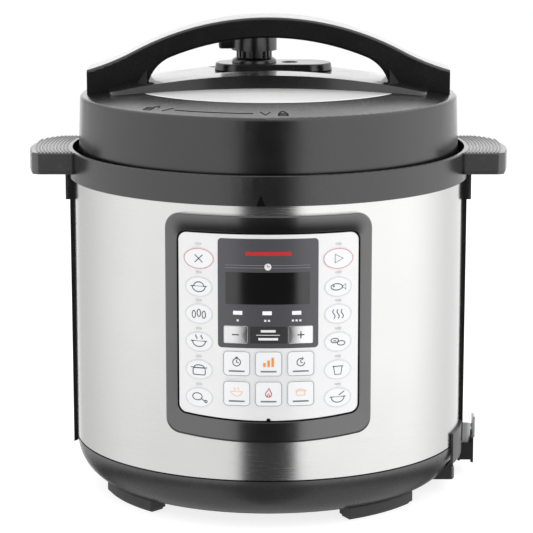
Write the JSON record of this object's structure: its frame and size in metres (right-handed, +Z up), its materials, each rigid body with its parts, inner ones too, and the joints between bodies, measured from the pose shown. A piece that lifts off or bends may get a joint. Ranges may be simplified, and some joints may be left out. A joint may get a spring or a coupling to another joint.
{
  "type": "electric pressure cooker",
  "caption": "Round electric pressure cooker with a twist-off domed lid, arched lid handle, side grips, removable inner pot and a push-button control panel with a display.",
  "frame": {"origin": "on the table surface, under the middle of the round body", "axes": "+Z up, -Y towards the control panel, +X to the panel's right as seen from the front"},
  "size_m": [0.3292, 0.279, 0.3302],
  "materials": {
    "black_plastic": "fine satin moulding",
    "lid_plastic": "fine satin moulding",
    "handle_plastic": "polished moulding",
    "bezel_plastic": "semi gloss moulding",
    "brushed_steel": "vertical brushed",
    "lid_steel": "spun and polished",
    "pot_steel": "spun",
    "vessel_steel": "drawn sheet",
    "cast_aluminium": "machined casting",
    "spring_steel": "blued",
    "screw_steel": "zinc plated",
    "silicone": "translucent white silicone",
    "red_silicone": "silicone",
    "foot_rubber": "matt",
    "overlay": "silver white printed film",
    "key_film": "silver grey printed film",
    "step_key": "silver film",
    "smoked_lens": "smoked window",
    "clear_plastic": "clear moulded plastic",
    "board_green": "solder mask",
    "module_black": "matt",
    "wire_sleeve": "insulated leads",
    "inlet_plastic": "moulded thermoset",
    "hose": "clear hose"
  },
  "bodies": {
    "base": {"base_shell": "black_plastic", "base_feet": "foot_rubber", "case_screws": "screw_steel", "cup_holder": "black_plastic", "mains_inlet": "inlet_plastic", "steel_wrap": "brushed_steel", "rear_shell": "black_plastic", "collar_ring": "black_plastic", "handle_covers": "black_plastic", "outer_pot": "vessel_steel", "heating_plate": "cast_aluminium", "disc_spring": "spring_steel", "sensor_spring": "spring_steel", "pressure_switch": "module_black", "thermal_fuse": "screw_steel", "power_board": "board_green", "panel_bezel": "bezel_plastic", "panel_overlay": "overlay", "display_window": "smoked_lens", "display_module": "module_black", "control_board": "board_green", "board_housing": "black_plastic", "wiring_harness": "wire_sleeve", "drain_tube": "hose"},
    "pot": {"inner_pot": "pot_steel"},
    "seal": {"sealing_ring": "silicone"},
    "lid": {"lid_steel": "lid_steel", "lid_cover": "lid_plastic", "lid_handle": "handle_plastic", "lid_screws": "screw_steel", "valve_platform": "handle_plastic", "valve_collar": "handle_plastic", "exhaust_pipe": "pot_steel", "anti_block_shield": "pot_steel", "ring_rack": "pot_steel"},
    "steam_knob": {"steam_valve_knob": "black_plastic"},
    "float_valve": {"float_valve_pin": "screw_steel", "float_valve_seal": "red_silicone"},
    "sensor": {"temperature_sensor": "cast_aluminium"},
    "cup": {"condensate_cup": "clear_plastic"},
    "key_cancel": {"key_cancel": "key_film"},
    "key_rice": {"key_rice": "key_film"},
    "key_multigrain": {"key_multigrain": "key_film"},
    "key_soup": {"key_soup": "key_film"},
    "key_stew": {"key_stew": "key_film"},
    "key_poultry": {"key_poultry": "key_film"},
    "key_start": {"key_start": "key_film"},
    "key_fish": {"key_fish": "key_film"},
    "key_steam": {"key_steam": "key_film"},
    "key_beans": {"key_beans": "key_film"},
    "key_yogurt": {"key_yogurt": "key_film"},
    "key_porridge": {"key_porridge": "key_film"},
    "key_manual": {"key_manual": "key_film"},
    "key_adjust": {"key_adjust": "key_film"},
    "key_delay": {"key_delay": "key_film"},
    "key_keep_warm": {"key_keep_warm": "key_film"},
    "key_sear": {"key_sear": "key_film"},
    "key_slow_cook": {"key_slow_cook": "key_film"},
    "key_minus": {"key_minus": "step_key"},
    "key_plus": {"key_plus": "step_key"}
  },
  "joints": [
    {"name": "lid_lift", "type": "slide", "parent": "base", "child": "seal", "axis": [0, 0, 1], "range_m": [0, 0.25]},
    {"name": "lid_turn", "type": "hinge", "parent": "seal", "child": "lid", "pos_m": [0, 0, 0.24], "axis": [0, 0, 1], "range_deg": [0, 34]},
    {"name": "steam_knob_turn", "type": "hinge", "parent": "lid", "child": "steam_knob", "pos_m": [-0.01, 0.038, 0.305], "axis": [0, 0, 1], "range_deg": [-30, 30]},
    {"name": "float_rise", "type": "slide", "parent": "lid", "child": "float_valve", "axis": [0, 0, 1], "range_m": [0, 0.0045]},
    {"name": "pot_lift", "type": "slide", "parent": "base", "child": "pot", "axis": [0, 0, 1], "range_m": [0, 0.125]},
    {"name": "sensor_press", "type": "slide", "parent": "base", "child": "sensor", "axis": [0, 0, 1], "range_m": [-0.002, 0], "stiffness_N_per_m": 600, "springref_m": 0.002, "deforming": ["sensor_spring"]},
    {"name": "cup_lift", "type": "slide", "parent": "base", "child": "cup", "axis": [0, 0, 1], "range_m": [0, 0.026]},
    {"name": "cancel_press", "type": "slide", "parent": "base", "child": "key_cancel", "axis": [0, 1, 0], "range_m": [0, 0.0004], "stiffness_N_per_m": 400},
    {"name": "rice_press", "type": "slide", "parent": "base", "child": "key_rice", "axis": [0, 1, 0], "range_m": [0, 0.0004], "stiffness_N_per_m": 400},
    {"name": "multigrain_press", "type": "slide", "parent": "base", "child": "key_multigrain", "axis": [0, 1, 0], "range_m": [0, 0.0004], "stiffness_N_per_m": 400},
    {"name": "soup_press", "type": "slide", "parent": "base", "child": "key_soup", "axis": [0, 1, 0], "range_m": [0, 0.0004], "stiffness_N_per_m": 400},
    {"name": "stew_press", "type": "slide", "parent": "base", "child": "key_stew", "axis": [0, 1, 0], "range_m": [0, 0.0004], "stiffness_N_per_m": 400},
    {"name": "poultry_press", "type": "slide", "parent": "base", "child": "key_poultry", "axis": [0, 1, 0], "range_m": [0, 0.0004], "stiffness_N_per_m": 400},
    {"name": "start_press", "type": "slide", "parent": "base", "child": "key_start", "axis": [0, 1, 0], "range_m": [0, 0.0004], "stiffness_N_per_m": 400},
    {"name": "fish_press", "type": "slide", "parent": "base", "child": "key_fish", "axis": [0, 1, 0], "range_m": [0, 0.0004], "stiffness_N_per_m": 400},
    {"name": "steam_press", "type": "slide", "parent": "base", "child": "key_steam", "axis": [0, 1, 0], "range_m": [0, 0.0004], "stiffness_N_per_m": 400},
    {"name": "beans_press", "type": "slide", "parent": "base", "child": "key_beans", "axis": [0, 1, 0], "range_m": [0, 0.0004], "stiffness_N_per_m": 400},
    {"name": "yogurt_press", "type": "slide", "parent": "base", "child": "key_yogurt", "axis": [0, 1, 0], "range_m": [0, 0.0004], "stiffness_N_per_m": 400},
    {"name": "porridge_press", "type": "slide", "parent": "base", "child": "key_porridge", "axis": [0, 1, 0], "range_m": [0, 0.0004], "stiffness_N_per_m": 400},
    {"name": "manual_press", "type": "slide", "parent": "base", "child": "key_manual", "axis": [0, 1, 0], "range_m": [0, 0.0004], "stiffness_N_per_m": 400},
    {"name": "adjust_press", "type": "slide", "parent": "base", "child": "key_adjust", "axis": [0, 1, 0], "range_m": [0, 0.0004], "stiffness_N_per_m": 400},
    {"name": "delay_press", "type": "slide", "parent": "base", "child": "key_delay", "axis": [0, 1, 0], "range_m": [0, 0.0004], "stiffness_N_per_m": 400},
    {"name": "keep_warm_press", "type": "slide", "parent": "base", "child": "key_keep_warm", "axis": [0, 1, 0], "range_m": [0, 0.0004], "stiffness_N_per_m": 400},
    {"name": "sear_press", "type": "slide", "parent": "base", "child": "key_sear", "axis": [0, 1, 0], "range_m": [0, 0.0004], "stiffness_N_per_m": 400},
    {"name": "slow_cook_press", "type": "slide", "parent": "base", "child": "key_slow_cook", "axis": [0, 1, 0], "range_m": [0, 0.0004], "stiffness_N_per_m": 400},
    {"name": "minus_press", "type": "slide", "parent": "base", "child": "key_minus", "axis": [0, 1, 0], "range_m": [0, 0.0004], "stiffness_N_per_m": 400},
    {"name": "plus_press", "type": "slide", "parent": "base", "child": "key_plus", "axis": [0, 1, 0], "range_m": [0, 0.0004], "stiffness_N_per_m": 400}
  ],
  "couplings": [
    {"joint": "pot_lift", "follows": "lid_lift", "ratio": 0.5}
  ]
}
